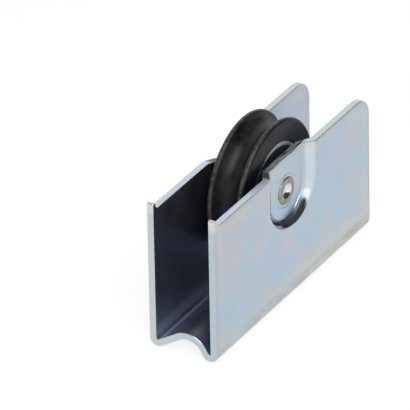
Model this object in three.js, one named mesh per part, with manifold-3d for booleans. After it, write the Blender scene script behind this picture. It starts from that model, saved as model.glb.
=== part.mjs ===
// Grooved gate wheel on a sealed ball bearing, riveted between the flanges of a pressed steel U housing.
// Millimetres, +Z up, +X along the housing, the wheel turns about Y.
// The origin is the middle of the housing's length and width, on the surface that it stands on.
// Left is +Y and right is -Y.

import * as THREE from 'three';
import { mergeVertices } from 'three/addons/utils/BufferGeometryUtils.js';
import Module from 'manifold-3d';

const wasm = await Module();
wasm.setup();

// ---- driving dimensions ---------------------------------------------------

// housing: one strip of sheet, bent to a U whose web is pushed up into a half-round rib
const housingLength = 78;
const housingWidth = 20;
const flangeHeight = 40; // bottom of the bends to the flanges' top edge
const sheet = 2;
const innerBend = 0.3; // inside radius of the bend between flange and web
const ribShift = 1.3; // the rib's middle, to the right of the housing's
const ribSpread = 0.2; // the rib takes this much more than the right bend leaves for it
const ribRise = 4.5; // bottom of the bends to the rib's underside, at its middle
const cornerRadius = 6; // top corners at the +X end
const nibHeight = 2; // small upstand on the top corners at the -X end
const nibWidth = 1.2;
const nibFillet = 2;

// recess: each flange is pressed inwards round the axle, and the recess is open at the top edge
const recessDepth = 2.25;
const recessFloorHalfWidth = 8.6;
const recessFloorDrop = 8.6; // below the axle
const recessLipHalfWidth = 12.4;
const recessLipDrop = 10.2;

// wheel
const axleBelowEdge = 9.65; // top edge of the flanges down to the axle
const wheelRadius = 18.5;
const wheelWidth = 10.2;
const rimRadius = 0.9; // rounding of the two rims
const grooveRadius = 3.5;

// bearing
const bearingRadius = 12.5;
const bearingWidth = 9.6;
const boreRadius = 5;
const pitchRadius = 8.8;
const ballRadius = 2;
const ballCount = 8;
const landGap = 1; // each race's shoulder to the ball's centre circle
const sealSeatRadius = 11.3;
const sealSeatDepth = 1.2;
const sealThickness = 0.75;
const sealStepRadius = 6.9; // the inner race is turned down to this under the seal's lip
const cageSheet = 0.4;
const cageHalfWidth = 0.75; // measured radially, either side of the pitch circle
const cageRivetShare = 0.375; // a rivet's radius, as a share of the room from its middle to a cup
const cageRivetHeadShare = 0.643;

// axle and washers
const tenonRadius = 3.2; // turned-down end that passes through the flange
const headRadius = 3.9; // the end after riveting over
const headThickness = 0.3;
const dimpleRadius = 2.1; // punch mark in the middle of the riveted end
const dimpleDepth = 0.9;
const washerRadius = 6.6;

// clearances
const seatGap = 0.1; // between pieces that are pressed, riveted or clamped together
const ballGap = 0.1; // ball to race and ball to cage
const sealGap = 0.15; // seal lip to inner race

// roundness of the solids
const wheelSegments = 48;
const bearingSegments = 32;
const raceGrooveSteps = 6;
const ballFacets = [10, 6]; // round the ball, and from pole to pole
const cageRivetSegments = 8;
const cageSegments = 32;

// ---- derived places -------------------------------------------------------

const axleHeight = flangeHeight - axleBelowEdge;
const halfLength = housingLength / 2;
const halfWidth = housingWidth / 2;
const nibTop = flangeHeight + nibHeight;
const bendRadius = sheet + innerBend; // outside of the bend
const ribRadius = halfWidth - 2 * bendRadius - ribShift + ribSpread; // underside of the half-round rib
const recessOuterFace = halfWidth - recessDepth;
const recessInnerFace = recessOuterFace - sheet;
const bearingFace = bearingWidth / 2;
const cagePocket = ballRadius + ballGap;
const rivetRoom = 2 * pitchRadius * Math.sin(Math.PI / (2 * ballCount)) - cagePocket - cageSheet;
const cageRivetRadius = cageRivetShare * rivetRoom;
const cageRivetHead = cageRivetHeadShare * rivetRoom;

// ---- helpers --------------------------------------------------------------

/** A closed three.js geometry as a manifold solid. */
function solidOf(geometry) {
  const bare = geometry.clone();
  bare.deleteAttribute('normal');
  bare.deleteAttribute('uv');
  const merged = mergeVertices(bare, 1e-4);
  return new wasm.Manifold(new wasm.Mesh({
    numProp: 3,
    vertProperties: new Float32Array(merged.attributes.position.array),
    triVerts: new Uint32Array(merged.index.array),
  }));
}

/** A manifold solid as a three.js geometry. */
function geometryOf(solid) {
  const mesh = solid.getMesh();
  const geometry = new THREE.BufferGeometry();
  geometry.setAttribute('position', new THREE.BufferAttribute(mesh.vertProperties, 3));
  geometry.setIndex(new THREE.BufferAttribute(mesh.triVerts, 1));
  geometry.computeVertexNormals();
  return geometry;
}

/** A ring or a shaft about Y: outline points [radius, y], anticlockwise, closed by this function. */
function turned(outline, segments) {
  const points = outline.map(([radius, y]) => new THREE.Vector2(radius, y));
  points.push(points[0].clone());
  return new THREE.LatheGeometry(points, segments);
}

/** Points [radius, y] on an arc, both ends included; angles from the radius axis, anticlockwise. */
function arc(centreRadius, centreY, radius, from, to, steps) {
  return Array.from({ length: steps + 1 }, (_, i) => {
    const angle = from + ((to - from) * i) / steps;
    return [centreRadius + radius * Math.cos(angle), centreY + radius * Math.sin(angle)];
  });
}

const model = new THREE.Group();
const onAxle = new THREE.Group();
onAxle.position.z = axleHeight;
model.add(onAxle);

function add(parent, name, geometry, material) {
  const mesh = new THREE.Mesh(geometry, material);
  mesh.name = name;
  parent.add(mesh);
  return mesh;
}

const zincPlate = () => new THREE.MeshStandardMaterial({ color: 0xb3c3cf, metalness: 1, roughness: 0.32 });
const bearingSteel = () => new THREE.MeshStandardMaterial({ color: 0xb9bfc4, metalness: 1, roughness: 0.25 });
const nylon = () => new THREE.MeshStandardMaterial({ color: 0x242226, metalness: 0, roughness: 0.55 });
const sealRubber = () => new THREE.MeshStandardMaterial({ color: 0x121214, metalness: 0, roughness: 0.7 });

// ---- housing --------------------------------------------------------------

/** The U section, outside and inside edges both run as flange, bend, flank, rib, flank, bend, flange. */
function channelSection(top) {
  const bendY = halfWidth - bendRadius;
  const ribZ = ribRise - ribRadius;
  const meet = (across) => // the direction in which the rib's arc hands over to a flank
    Math.atan2(bendRadius - ribZ, across) +
    Math.acos((ribRadius + bendRadius) / Math.hypot(across, bendRadius - ribZ));
  const left = meet(bendY + ribShift);
  const right = meet(bendY - ribShift);
  const outerRib = ribRadius + sheet;
  const section = new THREE.Shape();
  section.moveTo(halfWidth - sheet, top);
  section.lineTo(halfWidth, top); // three.js drops a start point that an arc follows directly
  section.absarc(bendY, bendRadius, bendRadius, 0, left - Math.PI, true);
  section.absarc(-ribShift, ribZ, ribRadius, left, Math.PI - right, false);
  section.absarc(-bendY, bendRadius, bendRadius, -right, -Math.PI, true);
  section.lineTo(-halfWidth, top);
  section.lineTo(sheet - halfWidth, top);
  section.absarc(-bendY, bendRadius, innerBend, -Math.PI, -right, false);
  section.absarc(-ribShift, ribZ, outerRib, Math.PI - right, left, true);
  section.absarc(bendY, bendRadius, innerBend, left - Math.PI, 0, false);
  return section;
}

/** The section carried along X, over the whole length. */
function channel() {
  const geometry = new THREE.ExtrudeGeometry(channelSection(nibTop), {
    depth: housingLength, bevelEnabled: false, curveSegments: 9,
  });
  geometry.applyMatrix4(new THREE.Matrix4().makeBasis(
    new THREE.Vector3(0, 1, 0), new THREE.Vector3(0, 0, 1), new THREE.Vector3(1, 0, 0),
  ));
  return geometry.translate(-halfLength, 0, 0);
}

/** The side view of a flange: nibs at the -X end, round corners at the +X end. */
function sideView() {
  const below = -1;
  const side = new THREE.Shape();
  side.moveTo(-halfLength, below);
  side.lineTo(halfLength, below);
  side.absarc(halfLength - cornerRadius, flangeHeight - cornerRadius, cornerRadius, 0, Math.PI / 2, false);
  const filletX = nibWidth + nibFillet - halfLength;
  side.absarc(filletX, flangeHeight + nibFillet, nibFillet, -Math.PI / 2, -Math.PI, true);
  side.lineTo(nibWidth - halfLength, nibTop);
  side.lineTo(-halfLength, nibTop);
  const width = housingWidth + 2;
  const geometry = new THREE.ExtrudeGeometry(side, { depth: width, bevelEnabled: false, curveSegments: 8 });
  return geometry.rotateX(Math.PI / 2).translate(0, width / 2, 0);
}

/**
 * A tapered U, open upwards: straight sides above the axle and half an ellipse below it.
 * It runs from outerY, where it is wide, to innerY, where it is narrow.
 */
function taperedU(outer, outerY, inner, innerY) {
  const rise = axleBelowEdge + nibHeight + 1;
  const outline = new THREE.Shape();
  outline.moveTo(1, 1);
  outline.lineTo(-1, 1);
  outline.absarc(0, 0, 1, Math.PI, 2 * Math.PI, false);
  const geometry = new THREE.ExtrudeGeometry(outline, { depth: 1, bevelEnabled: false, curveSegments: 20 });
  geometry.rotateX(Math.PI / 2);
  const position = geometry.attributes.position;
  for (let i = 0; i < position.count; i += 1) {
    const share = -position.getY(i);
    const halfSpan = THREE.MathUtils.lerp(outer.halfWidth, inner.halfWidth, share);
    const drop = THREE.MathUtils.lerp(outer.drop, inner.drop, share);
    const z = position.getZ(i);
    position.setXYZ(
      i,
      position.getX(i) * halfSpan,
      THREE.MathUtils.lerp(outerY, innerY, share),
      axleHeight + z * (z > 0 ? rise : drop),
    );
  }
  return geometry;
}

/** How much wider the recess is on the inside of the sheet, for a wall of this run over the depth. */
function wallOffset(run) {
  return (sheet * (Math.hypot(run, recessDepth) - run)) / recessDepth;
}

/** The pressed bulge inside the left flange and the hollow outside it. */
function recessSolids() {
  const lip = { halfWidth: recessLipHalfWidth, drop: recessLipDrop };
  const floor = { halfWidth: recessFloorHalfWidth, drop: recessFloorDrop };
  const run = { halfWidth: lip.halfWidth - floor.halfWidth, drop: lip.drop - floor.drop };
  const grown = (edge, runs) => ({
    halfWidth: edge.halfWidth + wallOffset(run.halfWidth) + runs * run.halfWidth,
    drop: edge.drop + wallOffset(run.drop) + runs * run.drop,
  });
  const overrun = sheet / 2; // both solids start inside metal or outside the flange, never on a face
  const steps = overrun / recessDepth;
  const bulge = taperedU(grown(lip, steps), halfWidth - sheet + overrun, grown(floor, 0), recessInnerFace);
  const wide = { halfWidth: lip.halfWidth + steps * run.halfWidth, drop: lip.drop + steps * run.drop };
  const hollow = taperedU(wide, halfWidth + overrun, floor, recessOuterFace);
  return { bulge, hollow };
}

function housing() {
  const { bulge, hollow } = recessSolids();
  const bulgeRight = bulge.clone().rotateZ(Math.PI);
  const hollowRight = hollow.clone().rotateZ(Math.PI);
  const holeRadius = tenonRadius + seatGap;
  const hole = new THREE.CylinderGeometry(holeRadius, holeRadius, housingWidth, bearingSegments);
  hole.translate(0, 0, axleHeight);
  return geometryOf(solidOf(channel())
    .add(solidOf(bulge))
    .add(solidOf(bulgeRight))
    .intersect(solidOf(sideView()))
    .subtract(solidOf(hollow))
    .subtract(solidOf(hollowRight))
    .subtract(solidOf(hole)));
}

add(model, 'housing', housing(), zincPlate());

// ---- axle and washers -----------------------------------------------------

const journalEnd = recessInnerFace - seatGap; // the journal's shoulders stop against the flanges
const headStart = recessOuterFace + seatGap;
const headEnd = headStart + headThickness;

function axle() {
  const dimpleSteps = 3;
  const dimpleSphere = (dimpleRadius ** 2 + dimpleDepth ** 2) / (2 * dimpleDepth);
  const dimpleSweep = Math.asin(dimpleRadius / dimpleSphere);
  const centre = headEnd - dimpleDepth + dimpleSphere;
  const bottomDimple = arc(0, -centre, dimpleSphere, Math.PI / 2, Math.PI / 2 - dimpleSweep, dimpleSteps);
  const topDimple = arc(0, centre, dimpleSphere, dimpleSweep - Math.PI / 2, -Math.PI / 2, dimpleSteps);
  bottomDimple[0][0] = 0;
  topDimple[dimpleSteps][0] = 0;
  const half = [[headRadius, headStart], [tenonRadius, headStart], [tenonRadius, journalEnd]];
  const outline = [
    ...bottomDimple,
    [headRadius, -headEnd],
    ...half.map(([radius, y]) => [radius, -y]),
    [boreRadius, -journalEnd],
    [boreRadius, journalEnd],
    ...half.slice().reverse(),
    [headRadius, headEnd],
    ...topDimple,
  ];
  return new THREE.LatheGeometry(outline.map(([radius, y]) => new THREE.Vector2(radius, y)), bearingSegments);
}

add(onAxle, 'axle', axle(), bearingSteel());

for (const [side, sign] of [['left', 1], ['right', -1]]) {
  const inner = sign * (bearingFace + seatGap);
  const outer = sign * (recessInnerFace - seatGap);
  const low = Math.min(inner, outer);
  const high = Math.max(inner, outer);
  const bore = boreRadius + seatGap;
  const outline = [[bore, low], [washerRadius, low], [washerRadius, high], [bore, high]];
  add(onAxle, `spacer_washer_${side}`, turned(outline, bearingSegments), zincPlate());
}

// ---- wheel ----------------------------------------------------------------

function wheel() {
  const side = wheelWidth / 2;
  const bore = bearingRadius + seatGap;
  const crestY = side - rimRadius;
  const crestR = wheelRadius - rimRadius;
  const grooveR = crestR + Math.sqrt((grooveRadius + rimRadius) ** 2 - crestY ** 2); // touches both rims
  const touch = Math.atan2(crestY, grooveR - crestR); // where rim and groove meet, from straight down
  const outline = [
    [bore, -side],
    ...arc(crestR, -crestY, rimRadius, -Math.PI / 2, touch, 7),
    ...arc(grooveR, 0, grooveRadius, Math.PI + touch, Math.PI - touch, 12).slice(1, -1),
    ...arc(crestR, crestY, rimRadius, -touch, Math.PI / 2, 7),
    [bore, side],
  ];
  return turned(outline, wheelSegments);
}

add(onAxle, 'wheel', wheel(), nylon());

// ---- bearing --------------------------------------------------------------

const grooveSize = ballRadius + ballGap;
const grooveSweep = Math.acos(landGap / grooveSize);

function outerRace() {
  const land = pitchRadius + landGap;
  const step = bearingFace - sealSeatDepth;
  return turned([
    [sealSeatRadius, -bearingFace],
    [bearingRadius, -bearingFace],
    [bearingRadius, bearingFace],
    [sealSeatRadius, bearingFace],
    [sealSeatRadius, step],
    [land, step],
    ...arc(pitchRadius, 0, grooveSize, grooveSweep, -grooveSweep, raceGrooveSteps),
    [land, -step],
    [sealSeatRadius, -step],
  ], bearingSegments);
}

function innerRace() {
  const land = pitchRadius - landGap;
  const bore = boreRadius + seatGap;
  const step = bearingFace - sealSeatDepth;
  return turned([
    [bore, -bearingFace],
    [sealStepRadius, -bearingFace],
    [sealStepRadius, -step],
    [land, -step],
    ...arc(pitchRadius, 0, grooveSize, Math.PI + grooveSweep, Math.PI - grooveSweep, raceGrooveSteps),
    [land, step],
    [sealStepRadius, step],
    [sealStepRadius, bearingFace],
    [bore, bearingFace],
  ], bearingSegments);
}

/** A seal is a flat washer, seated in the outer race, with its lip just clear of the inner race. */
function seal(sign) {
  const near = bearingFace - sealSeatDepth + seatGap;
  const far = near + sealThickness;
  const low = sign > 0 ? near : -far;
  const high = sign > 0 ? far : -near;
  const lip = sealStepRadius + sealGap;
  const rim = sealSeatRadius - seatGap;
  return turned([[lip, low], [rim, low], [rim, high], [lip, high]], bearingSegments);
}

add(onAxle, 'bearing_outer_race', outerRace(), bearingSteel());
add(onAxle, 'bearing_inner_race', innerRace(), bearingSteel());
add(onAxle, 'bearing_seal_left', seal(1), sealRubber());
add(onAxle, 'bearing_seal_right', seal(-1), sealRubber());

const ballAngle = (i) => (2 * Math.PI * i) / ballCount;
const rivetAngle = (i) => ballAngle(i + 0.5);
const sphere = (radius) => new THREE.SphereGeometry(radius, ...ballFacets);
const onPitch = (angle) => [pitchRadius * Math.sin(angle), 0, pitchRadius * Math.cos(angle)];

for (let i = 0; i < ballCount; i += 1) {
  const ball = add(onAxle, `bearing_ball_${i + 1}`, sphere(ballRadius), bearingSteel());
  ball.position.set(...onPitch(ballAngle(i)));
}

/** One half of the pressed cage: a flat ring with a cup over each ball and a hole between the cups. */
function cageHalf(sign) {
  const innerR = pitchRadius - cageHalfWidth;
  const outerR = pitchRadius + cageHalfWidth;
  const joint = seatGap / 2;
  const ring = (low, high) => solidOf(turned(
    [[innerR, low], [outerR, low], [outerR, high], [innerR, high]],
    cageSegments,
  ));
  const flat = sign > 0 ? ring(joint, joint + cageSheet) : ring(-joint - cageSheet, -joint);
  const reach = cagePocket + cageSheet;
  const band = sign > 0 ? ring(joint, reach + 1) : ring(-reach - 1, -joint);
  let cups = flat;
  let balls = null;
  for (let i = 0; i < ballCount; i += 1) {
    const place = onPitch(ballAngle(i));
    const cup = solidOf(sphere(reach).translate(...place));
    const hollow = solidOf(sphere(cagePocket).translate(...place));
    cups = cups.add(cup.intersect(band));
    balls = balls ? balls.add(hollow) : hollow;
  }
  let half = cups.subtract(balls);
  const holeRadius = cageRivetRadius + seatGap;
  for (let i = 0; i < ballCount; i += 1) {
    const hole = new THREE.CylinderGeometry(holeRadius, holeRadius, 2 * reach, cageRivetSegments);
    half = half.subtract(solidOf(hole.translate(...onPitch(rivetAngle(i)))));
  }
  return geometryOf(half);
}

add(onAxle, 'bearing_cage_left', cageHalf(1), bearingSteel());
add(onAxle, 'bearing_cage_right', cageHalf(-1), bearingSteel());

const rivetGrip = seatGap / 2 + cageSheet + seatGap; // middle of the cage to the underside of a head
const rivetEnd = rivetGrip + cageSheet / 2;
const rivetOutline = [
  [0, -rivetEnd], [cageRivetHead, -rivetEnd], [cageRivetHead, -rivetGrip], [cageRivetRadius, -rivetGrip],
  [cageRivetRadius, rivetGrip], [cageRivetHead, rivetGrip], [cageRivetHead, rivetEnd], [0, rivetEnd],
].map(([radius, y]) => new THREE.Vector2(radius, y));
const rivetShape = new THREE.LatheGeometry(rivetOutline, cageRivetSegments);

for (let i = 0; i < ballCount; i += 1) {
  const rivet = add(onAxle, `cage_rivet_${i + 1}`, rivetShape.clone(), bearingSteel());
  rivet.position.set(...onPitch(rivetAngle(i)));
}

export default model;
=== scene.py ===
import functools
import math
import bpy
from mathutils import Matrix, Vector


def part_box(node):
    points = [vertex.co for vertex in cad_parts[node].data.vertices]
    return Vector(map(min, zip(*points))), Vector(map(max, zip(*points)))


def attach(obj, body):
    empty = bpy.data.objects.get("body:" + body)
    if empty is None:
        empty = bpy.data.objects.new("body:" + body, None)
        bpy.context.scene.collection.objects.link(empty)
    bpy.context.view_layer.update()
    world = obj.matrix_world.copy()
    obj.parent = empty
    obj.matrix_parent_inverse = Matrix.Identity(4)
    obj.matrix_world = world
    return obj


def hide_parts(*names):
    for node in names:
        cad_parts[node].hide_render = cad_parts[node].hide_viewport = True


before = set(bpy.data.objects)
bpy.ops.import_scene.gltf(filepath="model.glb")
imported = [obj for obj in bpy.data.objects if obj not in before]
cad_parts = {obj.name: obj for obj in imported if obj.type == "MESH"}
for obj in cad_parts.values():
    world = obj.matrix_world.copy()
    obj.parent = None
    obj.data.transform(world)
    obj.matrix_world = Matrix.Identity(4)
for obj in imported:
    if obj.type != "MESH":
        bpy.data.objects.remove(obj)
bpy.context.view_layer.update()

from types import SimpleNamespace

import bpy
import numpy as np
from mathutils import Matrix, Vector

# Gate wheel: a grooved nylon wheel on a sealed ball bearing, riveted into a pressed steel U housing.
# Shapes and patterns are worked out in millimetres, and a mesh is turned to metres where it is made.


# ---- housing --------------------------------------------------------------------------------
# One strip of 2 mm mild steel, blanked, folded to a U with a half-round rib in its web, pressed
# inwards round the axle, then zinc plated and passivated: a satin blue-white metal with faint lilac
# and straw patches, and a brighter, coarser sheared edge all round.

MM = 0.001
SHEET = 2.0
BEND_RADIUS = 2.3
RIB_RADIUS = 4.3
RIB_RISE = 4.5
RIB_SHIFT = 1.3  # the rib lies this far to the right of the middle
NIB_HEIGHT = 2.0
NIB_WIDTH = 1.2
NIB_ROUND = 0.56
CORNER_RADIUS = 6.0
EDGE_ROUND = 0.22
DIE_ROLL = (1.1, 0.1)  # the blanking die draws the outside down: over this width, by this much
RECESS_DEPTH = 2.25
RECESS_FLOOR = (8.0, 8.25)  # half width, and drop below the axle
RECESS_LIP = (12.7, 10.1)
RECESS_FOLDS = (0.16, 0.42)  # shares of the wall that bend, at the floor and at the lip
HOLE_RADIUS = 3.3
HALO_RADIUS = 4.75  # the riveting tool's ring mark: its radius, depth and width
HALO_DEPTH = 0.13
HALO_WIDTH = 0.15

low, high = (np.array(corner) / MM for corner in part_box("housing"))
half_length = (high[0] - low[0]) / 2
half_width = (high[1] - low[1]) / 2
nib_top = high[2]
flange_top = nib_top - NIB_HEIGHT
low, high = (np.array(corner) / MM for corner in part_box("axle"))
axle_z = (low[2] + high[2]) / 2
low, high = (np.array(corner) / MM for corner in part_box("wheel"))
wheel_radius = (high[2] - low[2]) / 2
wheel_half_width = (high[1] - low[1]) / 2


def wall_share(t):
    """From 0 at the floor's outline to 1 at the lip's: the slope climbs evenly over the first fold,
    holds, and falls evenly over the last one, and this is that slope summed up."""
    t = np.clip(t, 0, 1)
    first, last = RECESS_FOLDS
    slope = 1 / (1 - (first + last) / 2)
    bend = np.where(t < first, t**2 / (2 * first), t - first / 2) * slope
    return np.where(t > 1 - last, 1 - slope * (1 - t) ** 2 / (2 * last), bend)


def recess(x, z):
    """How far the sheet is pressed inwards at (x, z), in mm.

    The share of the way from the floor's outline to the lip's is worked out along the line from
    the axle, where both outlines are half ellipses, or sideways above it, where they are straight.
    The wall takes the depth from full to nothing over it.
    """
    dz = np.minimum(z - axle_z, 0)
    reach = np.hypot(x, dz)
    across = np.where(reach > 1e-9, np.abs(x) / np.maximum(reach, 1e-9), 1)
    down = np.where(reach > 1e-9, -dz / np.maximum(reach, 1e-9), 0)
    floor = 1 / np.hypot(across / RECESS_FLOOR[0], down / RECESS_FLOOR[1])
    lip = 1 / np.hypot(across / RECESS_LIP[0], down / RECESS_LIP[1])
    return RECESS_DEPTH * (1 - wall_share((reach - floor) / (lip - floor)))


def arc(centre, radius, start, stop, steps):
    """Points on a circle from start to stop, in degrees, both ends included."""
    angle = np.radians(np.linspace(start, stop, steps + 1))
    return centre[0] + radius * np.cos(angle), centre[1] + radius * np.sin(angle)


# The sheet's grid is fine where the recess's wall runs, and its middle square round the hole, which
# the round patch replaces, is this many cells to each side, down and up.
RECESS_COLUMNS = np.concatenate([np.linspace(0, 4, 10)[:-1], np.linspace(4, 14, 41)])
RECESS_ROWS = np.concatenate([np.linspace(-11, -4, 29)[:-1], np.linspace(-4, 0, 10)[:-1]])
ROWS_ABOVE = 21
HOLE_BLOCK = (15, 15, 12)


def columns(inset):
    """Where each column of the sheet's grid stands in x, and how high its top is, for an outline
    drawn in by inset: two small rounds and a hollow one at the upstand, a straight edge, and one
    large round at the far end."""
    tip = nib_top - NIB_ROUND
    hollow = tip - flange_top
    left = -half_length
    foot = left + NIB_WIDTH + hollow
    fine = RECESS_COLUMNS[-1]
    corner = half_length - CORNER_RADIUS
    straight = np.concatenate([
        np.linspace(foot, -fine, 22)[1:-1],
        -RECESS_COLUMNS[:0:-1],
        RECESS_COLUMNS,
        np.linspace(fine, corner, 18)[1:-1],
    ])
    parts = [
        arc((left + NIB_ROUND, tip), NIB_ROUND - inset, 180, 90, 4),
        arc((left + NIB_WIDTH - NIB_ROUND, tip), NIB_ROUND - inset, 90, 0, 4),
        arc((foot, tip), hollow + inset, 180, 270, 8),
        (straight, np.full(straight.shape, flange_top - inset)),
        arc((corner, flange_top - CORNER_RADIUS), CORNER_RADIUS - inset, 90, 0, 18),
    ]
    parts[2] = (parts[2][0][1:], parts[2][1][1:])
    return tuple(np.concatenate([part[i] for part in parts]) for i in (0, 1))


def half_section(across):
    """The bent web from the middle of the rib to the top of a bend whose centre is this far across
    from it: the middle of the sheet and its outward direction, on an arc, a straight flank and a
    second arc that both touch it."""
    rib_z = RIB_RISE - RIB_RADIUS
    rise = BEND_RADIUS - rib_z
    reach = math.hypot(across, rise)
    flank = math.degrees(math.atan2(rise, across) + math.acos((RIB_RADIUS + BEND_RADIUS) / reach))
    rib = np.stack(arc((0, rib_z), RIB_RADIUS + SHEET / 2, 90, flank, 12), -1)
    bend = np.stack(arc((across, BEND_RADIUS), BEND_RADIUS - SHEET / 2, flank + 180, 360, 12), -1)
    share = np.linspace(0, 1, 6)[1:-1, None]
    angle = [np.linspace(270, flank + 180, 13), np.full(4, flank + 180), np.linspace(flank + 180, 360, 13)]
    angle = np.radians(np.concatenate(angle))
    middle = np.concatenate([rib, rib[-1] + share * (bend[0] - rib[-1]), bend])
    return middle, np.stack([np.cos(angle), np.sin(angle)], -1)


def section():
    """The whole web from the top of the right bend to the top of the left one, made of two halves
    that meet over the middle of the rib."""
    bend_y = half_width - BEND_RADIUS
    left, left_out = half_section(bend_y + RIB_SHIFT)
    right, right_out = half_section(bend_y - RIB_SHIFT)
    middle = np.concatenate([right[:0:-1] * (-1, 1), left]) - (RIB_SHIFT, 0)
    return middle, np.concatenate([right_out[:0:-1] * (-1, 1), left_out])


def rim_distance(x, z):
    """How far a point of the sheet is from its outline in mm, or 6 in the middle. Past the centre of
    the far corner's round it is the round's radius less the distance from that centre, which also
    gives the straight far end and top edge. The upstand counts as top edge moved up."""
    over_x = np.maximum(x - (half_length - CORNER_RADIUS), 0)
    rise = np.where(x < 0, np.interp(x, *columns(0)) - flange_top, 0)
    over_z = np.maximum(z - rise - (flange_top - CORNER_RADIUS), 0)
    return np.minimum(CORNER_RADIUS - np.hypot(over_x, over_z), half_length + x)


def rolled(lift, x, z):
    """The lift with the die's roll-over taken off the outer half of the sheet: its full depth at the
    border, fading with the square of the distance."""
    near = np.clip(1 - rim_distance(x, z) / DIE_ROLL[0], 0, 1)
    return lift - DIE_ROLL[1] * near**2 * np.clip(lift / (SHEET / 2), 0, 1)


def flange_point(x, z, lift):
    """Points of the left flange at (x, z), lifted from the middle of the sheet along its outward
    direction, which is the slope of the recess with the flat flange's direction added."""
    step = 0.01
    slope_x = (recess(x + step, z) - recess(x - step, z)) / (2 * step)
    slope_z = (recess(x, z + step) - recess(x, z - step)) / (2 * step)
    out = np.stack([slope_x, np.ones_like(z), slope_z], -1)
    out /= np.linalg.norm(out, axis=-1, keepdims=True)
    middle = np.stack([x, half_width - SHEET / 2 - recess(x, z), z], -1)
    return middle + out * rolled(lift, x, z)[..., None]


def sheet(inset, lift):
    """The sheet's grid of points, lifted from its middle along its own outward direction.

    Rows run from the right flange's top, down it, across the web and up the left flange; columns
    run along the length. The flange rows share out the height between the bend and the top.
    """
    x, top = columns(inset)
    web, web_out = section()
    coarse = np.linspace(BEND_RADIUS, axle_z + RECESS_ROWS[0], 14)[1:-1]
    rows = np.concatenate([coarse, axle_z + RECESS_ROWS, np.linspace(axle_z, flange_top, ROWS_ABOVE + 1)])
    share = (rows - BEND_RADIUS) / (flange_top - BEND_RADIUS)
    z = BEND_RADIUS + share[:, None] * (top - BEND_RADIUS)
    flange = flange_point(x + 0 * z, z, np.full(z.shape, lift))
    web = web[:, None] + rolled(lift, x, 0 * x)[:, None] * web_out[:, None]
    web = np.concatenate([np.broadcast_to(x[:, None], web.shape[:2] + (1,)), web], -1)
    return np.concatenate([flange[::-1] * (1, -1, 1), web, flange])


def grid_faces(number):
    """Quads between neighbours in a grid of vertex numbers."""
    corners = [number[:-1, :-1], number[:-1, 1:], number[1:, 1:], number[1:, :-1]]
    return np.stack(corners, -1)


def ring_faces(loops):
    """Quads between closed loops of vertex numbers, one loop in each row."""
    ahead = np.roll(loops, -1, axis=1)
    return np.stack([loops[:-1], ahead[:-1], ahead[1:], loops[1:]], -1).reshape(-1, 4)


def border(number):
    """The vertex numbers round the outside of a grid, in order."""
    return np.concatenate([number[0, :-1], number[:-1, -1], number[-1, :0:-1], number[:0:-1, 0]])


def mesh_piece(name, points, *faces, **attributes):
    """A smooth mesh object from points in mm and arrays of faces, with one float attribute per
    keyword. Points that no face uses are left out."""
    used = np.unique(np.concatenate([part.ravel() for part in faces]))
    number = np.zeros(len(points), int)
    number[used] = np.arange(len(used))
    mesh = bpy.data.meshes.new(name)
    mesh.from_pydata((points[used] * MM).tolist(), [], sum((number[part].tolist() for part in faces), []))
    for key, values in attributes.items():
        layer = mesh.attributes.new(key, "FLOAT", "POINT")
        layer.data.foreach_set("value", values[used].astype(np.float32))
    mesh.polygons.foreach_set("use_smooth", np.ones(len(mesh.polygons), bool))
    piece = bpy.data.objects.new(name, mesh)
    bpy.context.scene.collection.objects.link(piece)
    return piece


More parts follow.
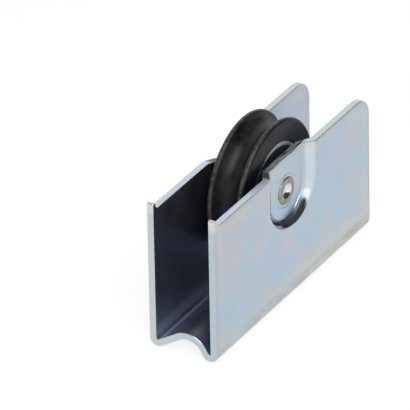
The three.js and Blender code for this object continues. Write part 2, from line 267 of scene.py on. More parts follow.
def housing_mesh():
    """Two skins half a sheet either side of its middle, a rounded edge all round between them, and
    a round patch with a hole in each flange. The edge's cross-section is a quarter circle, a flat
    and a quarter circle; the patch blends a square of the grid into circles about the axle."""
    half = SHEET / 2
    turn = np.radians(np.linspace(0, 90, 5))
    quarter = np.stack([EDGE_ROUND * (1 - np.sin(turn)), half - EDGE_ROUND * (1 - np.cos(turn))], -1)
    flat = np.stack([np.zeros(3), np.linspace(quarter[-1, 1], -quarter[-1, 1], 5)[1:-1]], -1)
    profile = np.concatenate([quarter, flat, quarter[::-1] * (1, -1)])
    skins = [sheet(EDGE_ROUND, half), sheet(EDGE_ROUND, -half)]
    rows, cols = skins[0].shape[:2]
    number = np.arange(rows * cols).reshape(rows, cols)
    outside, inside = number, number + number.size
    rim = border(number)
    points = [skin.reshape(-1, 3) for skin in skins]
    edge = [sheet(inset, lift).reshape(-1, 3)[rim] for inset, lift in profile[1:-1]]
    points += edge
    edge_start = 2 * number.size
    edge_numbers = edge_start + np.arange(len(edge) * len(rim)).reshape(len(edge), len(rim))
    faces = [ring_faces(np.concatenate([rim[None], edge_numbers, rim[None] + number.size]))]
    total = edge_start + edge_numbers.size

    middle = np.argmin(np.abs(columns(EDGE_ROUND)[0]))
    axle_row = rows - 1 - ROWS_ABOVE
    # The patch's circles lie close together where the ring mark runs.
    radii = np.concatenate([[5.2], np.arange(5.05, 4.4, -0.08), [4.25, 4, 3.7], [HOLE_RADIUS]])
    mark = HALO_DEPTH * np.exp(-(((radii - HALO_RADIUS) / HALO_WIDTH) ** 2))
    keep = np.ones((rows - 1, cols - 1), bool)
    across, down, up = HOLE_BLOCK
    for low, side in ((axle_row - down, 1), (rows - 1 - axle_row - up, -1)):
        block = np.s_[low : low + down + up, middle - across : middle + across]
        keep[block] = False
        loop = border(number[block[0].start : block[0].stop + 1, block[1].start : block[1].stop + 1])
        square = skins[0].reshape(-1, 3)[loop]
        angle = np.arctan2(square[:, 2] - axle_z, square[:, 0])
        x, z = radii[:, None] * np.cos(angle), axle_z + radii[:, None] * np.sin(angle)
        rings = []
        for offset, lift in ((0, half - mark), (number.size, 0 * mark - half)):
            points.append((flange_point(x, z, lift[:, None] + 0 * x) * (1, side, 1)).reshape(-1, 3))
            rings.append(total + np.arange(x.size).reshape(x.shape))
            total += x.size
            faces.append(ring_faces(np.concatenate([loop[None] + offset, rings[-1]])))
        faces[-2] = faces[-2][:, ::-1]
        faces.append(ring_faces(np.stack([rings[0][-1], rings[1][-1]]))[:, ::-1])
    faces += [grid_faces(outside)[keep][:, ::-1], grid_faces(inside)[keep]]

    points = np.concatenate(points)
    x, z = points[:, 0], points[:, 2]
    # cut climbs from 0 on the skins to 1 on the edge's flat, one step for each loop of its round.
    cut, inner = np.zeros(total), np.zeros(total)
    through = np.minimum(np.arange(1, len(edge) + 1), np.arange(len(edge), 0, -1))
    cut[edge_numbers.ravel()] = np.repeat(np.minimum(through / (len(turn) - 1), 1), len(rim))
    inner[inside.ravel()] = 1
    pressed = recess(x, z) / RECESS_DEPTH
    return mesh_piece(
        "pressed_housing", points, *faces, cut=cut, inner=inner, rim_mm=rim_distance(x, z),
        wall=4 * pressed * (1 - pressed),
    )


def linear(colour):
    """An sRGB hex colour as linear red, green, blue and an alpha of 1, by the standard's curve."""
    parts = (int(colour[i : i + 2], 16) / 255 for i in (1, 3, 5))
    return (*(c / 12.92 if c <= 0.04045 else ((c + 0.055) / 1.055) ** 2.4 for c in parts), 1.0)


def node(tree, kind, inputs=(), output=0, **settings):
    """Adds one shader node and gives back one of its outputs. Settings go on the node, and each
    input is a value or a socket to link."""
    made = tree.nodes.new("ShaderNode" + kind)
    for key, value in settings.items():
        setattr(made, key, value)
    for key, value in dict(inputs).items():
        if isinstance(value, bpy.types.NodeSocket):
            tree.links.new(value, made.inputs[key])
        else:
            made.inputs[key].default_value = value
    return made.outputs[output] if made.outputs else made


def new_material(name):
    """A material with an empty node tree, its tree, and its object coordinates."""
    material = bpy.data.materials.new(name)
    material.use_nodes = True
    material.node_tree.nodes.clear()
    return material, material.node_tree, node(material.node_tree, "TexCoord", output="Object")


def surface(tree, inputs):
    """Ends a material with one Principled BSDF."""
    node(tree, "OutputMaterial", {"Surface": node(tree, "BsdfPrincipled", inputs)})


def overlap(tree, *shares):
    """The share where all of these shares overlap, which is their product."""
    return functools.reduce(lambda a, b: node(tree, "Math", {0: a, 1: b}, operation="MULTIPLY"), shares)


def either(tree, *shares):
    """The share where any of these shares lies, which is the largest of them."""
    return functools.reduce(lambda a, b: node(tree, "Math", {0: a, 1: b}, operation="MAXIMUM"), shares)


def zone(tree, *limits):
    """A share that marks a zone. Each limit is a quantity, where it is out and where it is in: it
    climbs evenly from 0 to 1 between the two, or between the other levels given after them, and
    holds beyond them. Limits are multiplied."""
    return overlap(tree, *(node(tree, "MapRange", dict(enumerate(limit))) for limit in limits))


def blotches(tree, where, size, out, full, detail=2.0, roughness=0.5):
    """A share that marks blotches about size mm across: noise, out below one level and full above
    the other."""
    inputs = {"Vector": where, "Scale": 1 / (size * MM), "Detail": detail, "Roughness": roughness}
    return zone(tree, (node(tree, "TexNoise", inputs), out, full))


def coat(tree, under, over, *shares):
    """One colour laid over another, by the product of these shares."""
    return node(tree, "Mix", {0: overlap(tree, *shares), 6: under, 7: over}, 2, data_type="RGBA")


def plate_position(tree, where):
    """What the plate's patterns go by, as one record: x, y and z in mm, and what the mesh carries:
    cut, 1 on the sheared edge; inner, 1 on the inside; rim_mm, the distance from the outline; and
    wall, 1 half way up the recess's wall and 0 on the flat."""
    at = SimpleNamespace(where=where)
    for axis in "xyz":
        metres = node(tree, "SeparateXYZ", {0: where}, axis.upper())
        setattr(at, axis, node(tree, "Math", {0: metres, 1: MM}, operation="DIVIDE"))
    for name in ("cut", "inner", "rim_mm", "wall"):
        setattr(at, name, node(tree, "Attribute", output="Fac", attribute_name=name))
    return at


def film_colour(tree, at):
    """The outside's blue grey, with pink patches, more of them high up at the upstand end, green-grey
    ones, and a broken straw line a few mm in from the outline, missing low down at that end."""
    patch = node(tree, "TexNoise", {"Vector": at.where, "Scale": 1 / (9 * MM), "Detail": 1.5})
    corner = zone(tree, (at.x, -8, -30), (at.z, 12, 30))
    patch = node(tree, "Math", {0: corner, 1: 0.2, 2: patch}, operation="MULTIPLY_ADD")
    colour = coat(tree, linear("#ADC0D0"), linear("#BFBDC9"), zone(tree, (patch, 0.46, 0.68)), 0.85)
    green = blotches(tree, at.where, 17, 0.45, 0.7)
    colour = coat(tree, colour, linear("#B5C1BF"), green, 0.4)
    line = zone(tree, (at.rim_mm, 1.2, 2.4), (at.rim_mm, 4.6, 2.8))
    far_end, high_up = zone(tree, (at.x, -20, 0), (at.z, 37, 12, 0.2, 1.0)), zone(tree, (at.z, 17, 27))
    broken = blotches(tree, at.where, 6, 0.4, 0.6, 1.5)
    return coat(tree, colour, linear("#C3C4B6"), line, either(tree, far_end, high_up), broken, 0.75)


def drained_colour_and_rim_shade(tree, at, colour):
    """Low down the plate is hazy, with ragged olive streaks drawn out along the strip, where the bath
    drained. Its border is painted greyer as shade along the outline, and small brown specks lie near the
    edges."""
    drawn_out = node(tree, "Mapping", {"Vector": at.where, "Scale": (0.22, 1, 1)})
    olive = blotches(tree, drawn_out, 2.2, 0.34, 0.62, 3.0), zone(tree, (at.z, 5.5, 2.5))
    haze = coat(tree, linear("#C4C5BA"), linear("#9A9C90"), *olive)
    colour = coat(tree, colour, haze, zone(tree, (at.z, 9, 4), (at.x, -45, 20, 0.3, 1.0)), 0.8)
    # Painted shade: a greyer band along the outline.
    colour = coat(tree, colour, linear("#B3BAB8"), zone(tree, (at.rim_mm, 1.3, 0.9)), 0.5)
    near_edge = either(tree, zone(tree, (at.z, 6, 1)), zone(tree, (at.rim_mm, 2.5, 0.5)))
    specks = blotches(tree, at.where, 0.9, 0.64, 0.7, 3.0)
    return coat(tree, colour, linear("#6F6E60"), specks, near_edge, 0.45)


def inner_colour(tree, at, colour):
    """The inside is lilac blue, least so along the top, and painted darkest between the upstand end and the
    wheel, as shade where the channel is deep. Past the wheel it turns blue, then lilac at the far end."""
    far = coat(tree, linear("#AABAC9"), linear("#B1B5C9"), zone(tree, (at.x, 21, 34)))
    inside = coat(tree, linear("#BDC1D6"), far, zone(tree, (at.x, 5, 12)))
    # Painted shade: the inside is darkened between the upstand end and the wheel, where the channel is
    # deep.
    inside = coat(tree, inside, linear("#9FA3B9"), zone(tree, (at.x, -37, -22), (at.x, 12, -2)))
    return coat(tree, colour, inside, at.inner, zone(tree, (at.z, 24, 36, 0.85, 0.5)))


def edge_colour(tree, at, colour, cut, top):
    """The sheared edge is paler: bluer near the upstands than far from them along the top, and greyer
    on the left than on the right down the ends. The upstands have cream tips, partly their own colour
    and partly a painted highlight on their rounds, and the far end's foot is dirty."""
    along_top = coat(tree, linear("#C3CEDC"), linear("#C9D0D1"), zone(tree, (at.x, -30, 25)))
    down_end = coat(tree, linear("#BAC8D0"), linear("#C6CDCC"), zone(tree, (at.y, -8, 8)))
    colour = coat(tree, colour, coat(tree, down_end, along_top, top), cut, 0.85)
    # The cream at the upstands' tips is partly their colour and partly a painted highlight on their rounds.
    tip = zone(tree, (at.x, -34.5, -37), (at.z, 38, 39.8))
    colour = coat(tree, colour, linear("#D3CEC1"), tip, 0.6)
    foot = zone(tree, (at.x, 36.5, 38.5), (at.rim_mm, 0.9, 0.3), (at.z, 30, 8))
    return coat(tree, colour, linear("#969A90"), foot, 0.55)


def zinc_plate():
    """Clear blue passivated zinc on rolled mild steel: a satin metal with faint colours where the
    film is thicker. The pressing tool has burnished the recess's wall smooth, and its colour is lifted
    towards white there as a painted highlight; on the side of the upstands the wall is painted dark as
    shade. The sheared edge is coarser, and torn, dark and dull where the recess stretched it. A dull
    crease with a brighter ridge runs along the inside of the left bend."""
    material, tree, where = new_material("passivated_zinc_plate")
    at = plate_position(tree, where)
    off_middle = node(tree, "Math", {0: at.cut, 1: 0.5}, operation="SUBTRACT")
    burr = zone(tree, (node(tree, "Math", {0: off_middle}, operation="ABSOLUTE"), 0.35, 0.2))
    cut = zone(tree, (at.cut, 0.3, 0.6))
    top = zone(tree, (at.z, 38.5, 39.6))
    burnish_and_highlight = zone(tree, (at.wall, 0.15, 0.8))
    wall_painted_shade = zone(tree, (at.wall, 0.35, 0.75), (at.x, -1, -5))
    across = node(tree, "Math", {0: at.x}, operation="ABSOLUTE")
    stretched = zone(tree, (across, 10.5, 9), (at.z, 39, 39.5))
    along = node(tree, "Mapping", {"Vector": where, "Scale": (0.05, 1, 1)})
    torn = overlap(tree, cut, stretched, blotches(tree, along, 0.35, 0.44, 0.56, 4.0, 0.7))

    colour = drained_colour_and_rim_shade(tree, at, film_colour(tree, at))
    # Painted highlight: the recess's wall is lifted towards white, on top of its smoother burnish.
    colour = coat(tree, colour, linear("#E6EEF2"), burnish_and_highlight, 0.4)
    colour = inner_colour(tree, at, colour)
    colour = edge_colour(tree, at, colour, cut, top)
    # Painted shade: the recess's wall on the side of the upstands is darkened.
    colour = coat(tree, colour, linear("#454C52"), wall_painted_shade, 0.8)
    colour = coat(tree, colour, linear("#3E4448"), torn)

    off_ridge = node(tree, "Math", {0: at.y, 1: 6.55}, operation="SUBTRACT")
    off_ridge = node(tree, "Math", {0: off_ridge}, operation="ABSOLUTE")
    crease = zone(tree, (at.y, 5.75, 6.0), (at.y, 7.35, 7.1), (at.z, 5, 4))
    ridge = zone(tree, (off_ridge, 0.2, 0.5, 0.45, 1.0))
    dull = either(
        tree, overlap(tree, crease, ridge, at.inner, 0.45), overlap(tree, cut, top, 0.3),
        overlap(tree, stretched, either(tree, burr, overlap(tree, cut, 0.45)), 0.8),
    )
    roughness = node(tree, "TexNoise", {"Vector": where, "Scale": 1 / (5 * MM), "Detail": 3.0})
    roughness = zone(tree, (roughness, 0.3, 0.7, 0.25, 0.31))
    for share, more in ((cut, 0.08), (burnish_and_highlight, -0.17), (at.inner, 0.06)):
        roughness = node(tree, "Math", {0: share, 1: more, 2: roughness}, operation="MULTIPLY_ADD")
    # The rolling marks are drawn wider apart than real ones, so that they show.
    rolling = node(tree, "TexNoise", {"Vector": along, "Scale": 1 / (0.7 * MM)})
    relief = node(tree, "Math", {0: torn, 1: 4.0, 2: rolling}, operation="MULTIPLY_ADD")
    surface(tree, {
        "Base Color": colour, "Roughness": roughness,
        "Metallic": node(tree, "Math", {0: 1.0, 1: dull}, operation="SUBTRACT"),
        "Normal": node(tree, "Bump", {"Height": relief, "Strength": 0.06, "Distance": 0.03 * MM}),
    })
    return material


def place(piece, body, slot, material, *nodes):
    """Gives a piece its material in a new slot, and its body, and hides the CAD nodes that it stands for.
    The slot argument is not used.
    """
    piece.data.materials.append(material)
    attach(piece, body)
    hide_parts(*nodes)


zinc = zinc_plate()
place(housing_mesh(), "carrier", "zinc_plate", zinc, "housing")


# ---- axle -----------------------------------------------------------------------------------
# A turned mild steel pin. Its journal carries the bearing, and the thinner end on each side goes
# through the flange and is spun over by a riveting tool that leaves a ring and a deep dimple.

JOURNAL_RADIUS = 5.0
HEAD_RADIUS = 3.85
DIMPLE_RADIUS = 2.05
DIMPLE_DEPTH = 1.25
head_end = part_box("axle")[1][1] / MM
floor_outside = half_width - RECESS_DEPTH
floor_inside = floor_outside - SHEET


def rounded(corners):
    """An outline of (radius, y, round) corners with each one cut by an arc of that size touching
    both sides. A short step before and after the arc keeps the shading of flat faces level."""
    out = []
    for i, (radius, y, size) in enumerate(corners):
        corner = np.array([radius, y])
        if not size:
            out.append(corner[None])
            continue
        sides = [np.array(corners[(i + step) % len(corners)][:2]) - corner for step in (-1, 1)]
        before, after = (side / np.linalg.norm(side) for side in sides)
        half = math.acos(before @ after) / 2
        reach = size / math.tan(half)
        middle = corner + (before + after) / np.linalg.norm(before + after) * size / math.sin(half)
        start, stop = corner + before * reach - middle, corner + after * reach - middle
        sweep, t = math.pi - 2 * half, np.linspace(0, 1, 6)[:, None]
        bow = (np.sin((1 - t) * sweep) * start + np.sin(t * sweep) * stop) / math.sin(sweep)
        support = [(corner + side * reach * 1.3)[None] for side in (before, after)]
        out += [support[0], middle + bow, support[1]]
    return np.concatenate(out)


def turned(name, outline, segments=128):
    """Each outline point (radius, y) carried round the wheel's axis. An outline that starts and ends
    on the axis is closed there by a fan of triangles, and any other is a ring."""
    fans = outline[0, 0] == 0
    body = outline[1:-1] if fans else outline
    angle = np.linspace(0, 2 * math.pi, segments, endpoint=False)
    across, up = body[:, :1] * np.sin(angle), axle_z + body[:, :1] * np.cos(angle)
    points = np.stack([across, body[:, 1:] + 0 * across, up], -1).reshape(-1, 3)
    number = np.arange(across.size).reshape(across.shape)
    if not fans:
        return mesh_piece(name, points, ring_faces(np.concatenate([number, number[:1]])))
    poles = [[0, outline[0, 1], axle_z], [0, outline[-1, 1], axle_z]]
    first, last = number[0], number[-1]
    start = np.stack([np.full(segments, across.size), np.roll(first, -1), first], -1)
    stop = np.stack([last, np.roll(last, -1), np.full(segments, across.size + 1)], -1)
    return mesh_piece(name, np.concatenate([points, poles]), ring_faces(number), start, stop)


def axle_outline():
    """From the bottom of one dimple to the other: a spherical cap as deep as the dimple, the slightly
    crowned head, the thin end, the journal, and the same again the other way round."""
    sphere = (DIMPLE_RADIUS**2 + DIMPLE_DEPTH**2) / (2 * DIMPLE_DEPTH)
    sweep = np.linspace(0, math.asin(DIMPLE_RADIUS / sphere), 12)
    cap = np.stack([sphere * np.sin(sweep), head_end - DIMPLE_DEPTH + sphere * (1 - np.cos(sweep))], -1)
    head = rounded([
        (cap[-3, 0], cap[-3, 1], 0), (DIMPLE_RADIUS + 0.05, head_end, 0.12), (2.9, head_end - 0.02, 0.8),
        (HEAD_RADIUS - 0.15, head_end - 0.12, 0.4), (HEAD_RADIUS, floor_outside - 0.06, 0.05),
        (HOLE_RADIUS - 0.02, floor_outside - 0.06, 0), (HOLE_RADIUS - 0.02, floor_inside - 0.1, 0),
        (JOURNAL_RADIUS, floor_inside - 0.1, 0.15), (JOURNAL_RADIUS, 0, 0),
    ])
    far = np.concatenate([cap[:-3], head])
    return np.concatenate([far * (1, -1), far[-2::-1]])


def axis_distance(tree, where):
    """How far a point is from the wheel's axis, in mm."""
    flat = node(tree, "Mapping", {"Vector": where, "Location": (0, 0, -axle_z * MM), "Scale": (1, 0, 1)})
    metres = node(tree, "VectorMath", {0: flat}, "Value", operation="LENGTH")
    return node(tree, "Math", {0: metres, 1: MM}, operation="DIVIDE")


def turned_steel():
    """Bare mild steel, spun over: dull and beige grey, with rings about the axis from the tool, and
    brighter in the dimple, where the tool pressed hardest."""
    material, tree, where = new_material("spun_mild_steel")
    radius = axis_distance(tree, where)
    rings = {"W": radius, "Scale": 1 / 0.22, "Detail": 3.0}
    rings = node(tree, "TexNoise", rings, "Fac", noise_dimensions="1D")
    dimple = zone(tree, (radius, DIMPLE_RADIUS + 0.1, DIMPLE_RADIUS - 0.05))
    dirt = blotches(tree, where, 1.6, 0.35, 0.7, 4.0)
    colour = coat(tree, linear("#A8A9A0"), linear("#84837B"), dirt)
    surface(tree, {
        "Base Color": coat(tree, colour, linear("#DADDDF"), dimple), "Metallic": 1.0,
        "Roughness": zone(tree, (dimple, 0, 1, 0.42, 0.12)),
        "Normal": node(tree, "Bump", {"Height": rings, "Strength": 0.25, "Distance": 0.04 * MM}),
    })
    return material


spun_steel = turned_steel()
place(turned("riveted_axle", axle_outline(), 96), "carrier", "axle_steel", spun_steel, "axle")


# ---- spacer washers -------------------------------------------------------------------------
# One punched and zinc plated washer on each side of the bearing, on the journal. It keeps the
# inner race, and so the wheel, clear of the flanges. Pieces that touch are drawn 0.01 to 0.05 mm
# apart, here and in the bearing.

WASHER_RADIUS = 6.6
bearing_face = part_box("bearing_inner_race")[1][1] / MM


def ring_outline(inner, outer, near, far, *rounds):
    """A rectangle of (radius, y) from inner to outer and near to far, whose corners have these rounds."""
    corners = [(inner, near), (outer, near), (outer, far), (inner, far)]
    return rounded([(*corner, size) for corner, size in zip(corners, rounds * (4 // len(rounds)))])


for side, sign in (("left", 1), ("right", -1)):
    near, far = sorted((sign * (bearing_face + 0.05), sign * (floor_inside - 0.05)))
    outline = ring_outline(JOURNAL_RADIUS + 0.02, WASHER_RADIUS, near, far, 0.12)
    washer = turned("punched_washer_" + side, outline)
    place(washer, "carrier", "zinc_plate", zinc, "spacer_washer_" + side)


# ---- bearing rings --------------------------------------------------------------------------
# The two rings of a single-row ball bearing, turned, hardened and ground from chrome steel. The
# outer one is pressed into the wheel, and the inner one sits on the axle's journal.

BEARING_RADIUS = 12.5
SEAL_SEAT_RADIUS = 11.3
SEAL_SEAT_DEPTH = 1.2
SEAL_STEP_RADIUS = 6.9
PITCH_RADIUS = 8.8
RACE_RADIUS = 2.06
LAND_GAP = 1.0  # from the pitch circle to each ring's shoulder


def race_outline(radius, land, seat, way):
    """A ring's section: face, chamfered back at radius, face, seal step at seat, shoulder at land,
    and the ball's groove, which is an arc about the pitch circle. way is 1 if the back is outside."""
    deep = bearing_face - SEAL_SEAT_DEPTH
    sweep = math.acos(LAND_GAP / RACE_RADIUS)
    angle = np.linspace(sweep, -sweep, 17)
    groove = np.stack([PITCH_RADIUS + way * RACE_RADIUS * np.cos(angle), RACE_RADIUS * np.sin(angle)], -1)
    corners = [
        (land, -deep, 0.1), (seat, -deep, 0.1), (seat, -bearing_face, 0.08), (radius, -bearing_face, 0.35),
        (radius, bearing_face, 0.35), (seat, bearing_face, 0.08), (seat, deep, 0.1), (land, deep, 0.1),
    ]
    outline = rounded([(*groove[-1], 0), *corners, (*groove[0], 0)])
    outline = np.concatenate([outline, groove[1:-1]])
    return outline if way > 0 else outline[::-1]


def ground_steel():
    """Hardened and ground chrome steel: bright, nearly neutral, with fine marks round the ring."""
    material, tree, where = new_material("ground_bearing_steel")
    around = node(tree, "Mapping", {"Vector": where, "Scale": (0.2, 1, 0.2)})
    marks = node(tree, "TexNoise", {"Vector": around, "Scale": 1 / (0.12 * MM)})
    stain = blotches(tree, where, 5, 0.4, 0.7, 3.0)
    surface(tree, {
        "Base Color": coat(tree, linear("#B9BEC1"), linear("#A0A3A3"), stain), "Metallic": 1.0,
        "Roughness": zone(tree, (marks, 0.3, 0.7, 0.4, 0.5)),
        "Normal": node(tree, "Bump", {"Height": marks, "Strength": 0.1, "Distance": 0.01 * MM}),
    })
    return material


steel = ground_steel()
outer = race_outline(BEARING_RADIUS + 0.02, PITCH_RADIUS + LAND_GAP, SEAL_SEAT_RADIUS, 1)
inner = race_outline(JOURNAL_RADIUS + 0.03, PITCH_RADIUS - LAND_GAP, SEAL_STEP_RADIUS, -1)
place(turned("ground_outer_ring", outer, 160), "roller", "bearing_steel", steel, "bearing_outer_race")
place(turned("ground_inner_ring", inner), "carrier", "bearing_steel", steel, "bearing_inner_race")


# ---- bearing seals --------------------------------------------------------------------------
# A rubber seal snapped into the outer ring on each side: a flat washer with a shallow moulded
# groove, whose thin lip reaches down to the inner ring's step.

SEAL_THICKNESS = 0.8
SEAL_GROOVE = (8.2, 10.5)  # the radii in the middle of its slanted sides
SEAL_GROOVE_DEPTH = 0.15
SEAL_LIP_RADIUS = 7.5  # the seal thins from here inwards


def seal_rubber():
    """Moulded nitrile rubber: black, with a dull bloom and a trace of grease."""
    material, tree, where = new_material("nitrile_rubber")
    bloom = blotches(tree, where, 2.5, 0.4, 0.7, 4.0)
    grain = node(tree, "TexNoise", {"Vector": where, "Scale": 1 / (0.3 * MM)})
    surface(tree, {
        "Base Color": coat(tree, linear("#141416"), linear("#242324"), bloom),
        "Roughness": zone(tree, (bloom, 0, 1, 0.45, 0.7)),
        "Normal": node(tree, "Bump", {"Height": grain, "Strength": 0.2, "Distance": 0.02 * MM}),
    })
    return material


rubber = seal_rubber()
for side, sign in (("left", 1), ("right", -1)):
    near = bearing_face - SEAL_SEAT_DEPTH + 0.03
    far = near + SEAL_THICKNESS
    bottom = far - SEAL_GROOVE_DEPTH
    lip, seat, (groove_in, groove_out) = SEAL_STEP_RADIUS + 0.08, SEAL_SEAT_RADIUS - 0.03, SEAL_GROOVE
    corners = [
        (lip, near + 0.1, 0.05), (seat, near, 0.1), (seat, far, 0.15), (groove_out + 0.1, far, 0.1),
        (groove_out - 0.1, bottom, 0.1), (groove_in + 0.1, bottom, 0.1), (groove_in - 0.1, far, 0.1),
        (SEAL_LIP_RADIUS, far, 0.15), (lip, near + 0.4, 0.05),
    ]
    outline = rounded(corners) * (1, sign)
    seal = turned("moulded_seal_" + side, outline if sign > 0 else outline[::-1])
    place(seal, "roller", "seal_rubber", rubber, "bearing_seal_" + side)


# ---- bearing balls --------------------------------------------------------------------------
# Eight ground and polished chrome steel balls, evenly spaced on the pitch circle. They run between
# the two rings' grooves.

BALLS = 8
BALL_RADIUS = 2.0


def about_pitch(angle, points):
    """Points (outwards, y, round) put on the pitch circle at an angle from straight up."""
    out, y, along = np.moveaxis(points, -1, 0)
    radius = PITCH_RADIUS + out
    x = radius * math.sin(angle) + along * math.cos(angle)
    return np.stack([x, y, axle_z + radius * math.cos(angle) - along * math.sin(angle)], -1)


def ball_mesh(name, angle):
    """A sphere: latitude rings between two poles, closed by fans."""
    lat = np.linspace(-90, 90, 25)[1:-1, None] * math.pi / 180
    lon = np.linspace(0, 2 * math.pi, 48, endpoint=False)
    unit = np.stack([np.cos(lat) * np.cos(lon), np.sin(lat) + 0 * lon, np.cos(lat) * np.sin(lon)], -1)
    points = np.concatenate([unit.reshape(-1, 3), [[0, -1, 0], [0, 1, 0]]]) * BALL_RADIUS
    number = np.arange(lat.size * lon.size).reshape(lat.size, lon.size)
    first, last = number[0], number[-1]
    start = np.stack([np.full(lon.size, number.size), np.roll(first, -1), first], -1)
    stop = np.stack([last, np.roll(last, -1), np.full(lon.size, number.size + 1)], -1)
    return mesh_piece(name, about_pitch(angle, points), ring_faces(number), start, stop)


for i in range(BALLS):
    ball = ball_mesh("polished_ball_%d" % (i + 1), 2 * math.pi * i / BALLS)
    place(ball, "ball_cage", "bearing_steel", steel, "bearing_ball_%d" % (i + 1))


# ---- bearing cage ---------------------------------------------------------------------------
# Two halves pressed from thin steel strip, cupped over each ball and flat between the balls, where
# a small headed rivet holds them together.

CAGE_SHEET = 0.4
CAGE_HALF_WIDTH = 0.75
CAGE_BALL_GAP = 0.1
CAGE_HALF_GAP = 0.03  # from each half to the plane between them
CAGE_RIVET = (0.35, 0.55, 0.3)  # shank radius, head radius, head height


def cage_mesh(name, sign):
    """Half of the ribbon cage: a strip with a rounded rectangular section carried round the pitch
    circle. Its middle stands off by the ball's radius over each ball, along a circle, and lies flat
    between; a power mean of the two heights rounds the bend between them."""
    angle = np.linspace(0, 2 * math.pi, 480, endpoint=False)
    pitch = 2 * math.pi / BALLS
    off_ball = PITCH_RADIUS * np.abs((angle + pitch / 2) % pitch - pitch / 2)
    cup = BALL_RADIUS + CAGE_BALL_GAP + CAGE_SHEET / 2
    flat = CAGE_HALF_GAP + CAGE_SHEET / 2
    over = np.sqrt(np.maximum(cup**2 - off_ball**2, 0))
    height = (over**6 + flat**6) ** (1 / 6)
    slope = np.gradient(height, angle * PITCH_RADIUS)
    corner = ring_outline(-CAGE_HALF_WIDTH, CAGE_HALF_WIDTH, -CAGE_SHEET / 2, CAGE_SHEET / 2, 0.1)
    lean = np.hypot(1, slope)
    along = -corner[:, 1:] * slope / lean
    y = sign * (height + corner[:, 1:] / lean)
    turn = angle + along / PITCH_RADIUS
    radius = PITCH_RADIUS + corner[:, :1]
    points = np.stack([radius * np.sin(turn), y, axle_z + radius * np.cos(turn)], -1)
    number = np.arange(y.size).reshape(y.shape)
    faces = ring_faces(np.concatenate([number, number[:1]]))
    return mesh_piece(name, points.reshape(-1, 3), faces[:, ::-1] if sign < 0 else faces)


def cage_rivet_mesh(name, angle):
    """A shank with a low domed head on each end, turned about its own length."""
    dome = np.radians(np.linspace(90, 0, 7))
    grip = CAGE_HALF_GAP + CAGE_SHEET
    shank, head, height = CAGE_RIVET
    cap = np.stack([head * np.cos(dome), grip + height * np.sin(dome)], -1)
    half = np.concatenate([cap, [[shank, grip]]])
    outline = np.concatenate([half, half[::-1] * (1, -1)])
    turn = np.linspace(0, 2 * math.pi, 24, endpoint=False)
    body = outline[1:-1]
    points = np.stack([body[:, :1] * np.cos(turn), body[:, 1:] + 0 * turn, body[:, :1] * np.sin(turn)], -1)
    number = np.arange(body[:, :1].size * turn.size).reshape(len(body), turn.size)
    poles = [[0, outline[0, 1], 0], [0, outline[-1, 1], 0]]
    first, last = number[0], number[-1]
    start = np.stack([np.full(turn.size, number.size), first, np.roll(first, -1)], -1)
    stop = np.stack([np.roll(last, -1), last, np.full(turn.size, number.size + 1)], -1)
    points = about_pitch(angle, np.concatenate([points.reshape(-1, 3), poles]))
    return mesh_piece(name, points, ring_faces(number)[:, ::-1], start, stop)


for i in range(BALLS):
    rivet = cage_rivet_mesh("headed_rivet_%d" % (i + 1), 2 * math.pi * (i + 0.5) / BALLS)
    place(rivet, "ball_cage", "bearing_steel", steel, "cage_rivet_%d" % (i + 1))
for side, sign in (("left", 1), ("right", -1)):
    cage = cage_mesh("ribbon_cage_" + side, sign)
    place(cage, "ball_cage", "bearing_steel", steel, "bearing_cage_" + side)


# ---- wheel ----------------------------------------------------------------------------------
# Injection moulded black nylon, pressed on the bearing: two rounded rims with a round groove
# between them that runs on the rail. Satin, with a fine moulded grain and a brown film of dust.

RIM_RADIUS = 0.9
GROOVE_RADIUS = 3.5


def wheel_outline():
    """Side faces, a quarter circle and more over each rim, and an arc between that touches both."""
    side = wheel_half_width
    crest_y, crest = side - RIM_RADIUS, wheel_radius - RIM_RADIUS
    groove = crest + math.sqrt((GROOVE_RADIUS + RIM_RADIUS) ** 2 - crest_y**2)
    touch = math.atan2(crest_y, groove - crest)
    over = np.linspace(-math.pi / 2, touch, 17)
    rim = np.stack([crest + RIM_RADIUS * np.cos(over), -crest_y + RIM_RADIUS * np.sin(over)], -1)
    hollow = np.linspace(math.pi + touch, math.pi - touch, 33)[1:-1]
    hollow = np.stack([groove + GROOVE_RADIUS * np.cos(hollow), GROOVE_RADIUS * np.sin(hollow)], -1)
    bore = rounded([(BEARING_RADIUS + 0.03, 0, 0), (BEARING_RADIUS + 0.03, -side, 0.25), (crest, -side, 0)])
    bore = bore[1:-1]
    return np.concatenate([bore, rim, hollow, rim[::-1] * (1, -1), bore[::-1] * (1, -1)])


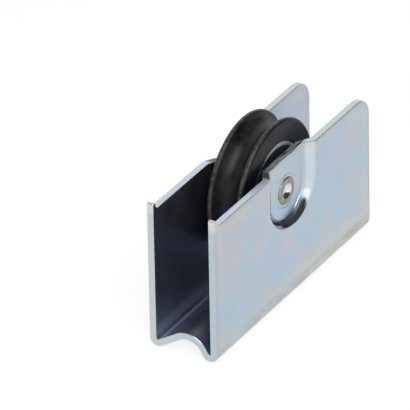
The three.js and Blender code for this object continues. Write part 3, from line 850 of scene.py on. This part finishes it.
def black_nylon():
    """Moulded black nylon: near black and slightly warm, satin, with a fine grain. The rail's dust
    leaves a brown film in the groove, and the rims' crests are lighter: scuffed by handling, and partly a
    painted highlight."""
    material, tree, where = new_material("moulded_black_nylon")
    radius = axis_distance(tree, where)
    film = blotches(tree, where, 5, 0.36, 0.66, 4.0, 0.6)
    colour = coat(tree, linear("#0E0D0E"), linear("#242120"), film)
    side = node(tree, "SeparateXYZ", {0: where}, "Y")
    side = node(tree, "Math", {0: side}, operation="ABSOLUTE")
    side = zone(tree, (side, (wheel_half_width - 0.5) * MM, (wheel_half_width - 0.1) * MM))
    colour = coat(tree, colour, linear("#0D1016"), side)
    crest = zone(tree, (radius, wheel_radius - 0.3, wheel_radius - 0.03))
    scuffs_and_highlight = blotches(tree, where, 1.2, 0.38, 0.6, 4.0, 0.7)
    # The lighter crests are partly scuffs and partly a painted highlight.
    colour = coat(tree, colour, linear("#4C4A49"), crest, scuffs_and_highlight, 0.7)
    dust = blotches(tree, where, 0.5, 0.68, 0.73, 3.0)
    colour = coat(tree, colour, linear("#5C5852"), dust, 0.5)
    grain = node(tree, "TexNoise", {"Vector": where, "Scale": 1 / (0.35 * MM), "Detail": 3.0})
    surface(tree, {
        "Base Color": colour, "Roughness": zone(tree, (film, 0, 1, 0.36, 0.5)), "Specular IOR Level": 0.22,
        "Normal": node(tree, "Bump", {"Height": grain, "Strength": 0.25, "Distance": 0.02 * MM}),
    })
    return material


wheel = turned("moulded_wheel", wheel_outline(), 224)
place(wheel, "roller", "black_nylon", black_nylon(), "wheel")


# ---- studio ---------------------------------------------------------------------------------
# A wide white floor under a pale sky. Two dark screens, behind and overhead, and a bright card low
# down on the right give the metal its reflections, and a large soft lamp hangs over the upstand end.

FLOOR_SIZE = 6.0
DARK_SIDE = (0.5, -0.1, 0.86)  # towards the middle of each screen and of the card
DARK_ABOVE = (-0.5, -0.3, 0.81)
BRIGHT_CARD = (-0.17, -0.94, 0.3)
PALE_LEVEL, DARK_LEVEL, CARD_LEVEL = 0.97, 0.06, 0.5
LAMP_AT = (-0.6, -0.5, 1.2)
LAMP_SIZE = 1.0
LAMP_WATTS = 22.0


def white_floor():
    """Matt white card. Seen by the camera or in the metal it is partly lit from within, so that it
    stays near white and keeps a faint soft shadow."""
    material, tree, where = new_material("matt_white_card")
    grain = blotches(tree, where, 40, 0.3, 0.7)
    card = node(tree, "BsdfDiffuse", {"Color": coat(tree, linear("#F6F6F6"), linear("#F9F9F9"), grain)})
    glow = node(tree, "Emission", {"Color": (1, 1, 1, 1), "Strength": 1.0})
    rays = ("Is Camera Ray", "Is Glossy Ray", "Is Transmission Ray")
    seen = either(tree, *(node(tree, "LightPath", output=ray) for ray in rays))
    mixed = node(tree, "MixShader", {0: overlap(tree, seen, 0.85), 1: card, 2: glow})
    node(tree, "OutputMaterial", {"Surface": mixed})
    return material


half = FLOOR_SIZE / 2 / MM
corners = np.array([[-half, -half, 0], [half, -half, 0], [half, half, 0], [-half, half, 0]])
floor = mesh_piece("studio_floor", corners, np.array([[0, 1, 2, 3]]))
floor.data.materials.append(white_floor())

world = bpy.data.worlds.new("studio_sky")
world.use_nodes = True
tree = world.node_tree
tree.nodes.clear()
where = node(tree, "TexCoord", output="Generated")
out_y, up = (node(tree, "SeparateXYZ", {0: where}, axis) for axis in "YZ")
side, above, card = (
    node(tree, "VectorMath", {0: where, 1: way}, "Value", operation="DOT_PRODUCT")
    for way in (DARK_SIDE, DARK_ABOVE, BRIGHT_CARD)
)
side = zone(tree, (side, 0.28, 0.42), (out_y, 0.0, -0.1), (up, 0.0, 0.05))
above = zone(tree, (above, 0.45, 0.6), (up, 0.35, 0.5))
card = zone(tree, (card, 0.9, 0.96), (up, 0.38, 0.3))
level = zone(tree, (either(tree, side, above), 0, 1, PALE_LEVEL, DARK_LEVEL))
level = node(tree, "Math", {0: card, 1: CARD_LEVEL, 2: level}, operation="MULTIPLY_ADD")
level = either(tree, level, node(tree, "LightPath", output="Is Camera Ray"))
sky = node(tree, "Background", {"Color": linear("#FFFFFF"), "Strength": level})
node(tree, "OutputWorld", {"Surface": sky})
bpy.context.scene.world = world

lamp = bpy.data.lights.new("soft_lamp", "AREA")
lamp.shape, lamp.size, lamp.size_y, lamp.energy = "RECTANGLE", LAMP_SIZE, LAMP_SIZE, LAMP_WATTS
lamp_at = Vector(LAMP_AT)
lamp_object = bpy.data.objects.new("soft_lamp", lamp)
turn = (-lamp_at).to_track_quat("-Z", "Y").to_matrix().to_4x4()
lamp_object.matrix_world = Matrix.Translation(lamp_at) @ turn
bpy.context.scene.collection.objects.link(lamp_object)


# ---- camera ---------------------------------------------------------------------------------
# A long lens a good way off, above the upstand end and to the right of the housing, so that the
# right flange, the open end and the wheel's groove all show.

AZIMUTH, ELEVATION, ROLL = (math.radians(turn) for turn in (-58.43, 31.06, -1.12))
AIM = Vector((-5.88, 13.03, 23.01)) * MM
DISTANCE = 1.668
FOCAL_LENGTH, SENSOR_WIDTH = 570.7, 36

level = math.cos(ELEVATION)
back = Vector((math.sin(AZIMUTH) * level, -math.cos(AZIMUTH) * level, math.sin(ELEVATION)))
camera = bpy.data.objects.new("camera", bpy.data.cameras.new("camera"))
camera.data.lens, camera.data.sensor_width = FOCAL_LENGTH, SENSOR_WIDTH
camera.data.clip_start, camera.data.clip_end = 0.05, 20
turn = (-back).to_track_quat("-Z", "Y").to_matrix().to_4x4() @ Matrix.Rotation(ROLL, 4, "Z")
camera.matrix_world = Matrix.Translation(AIM + back * DISTANCE) @ turn
bpy.context.scene.collection.objects.link(camera)
bpy.context.scene.camera = camera

bpy.context.scene.view_settings.view_transform = "Standard"
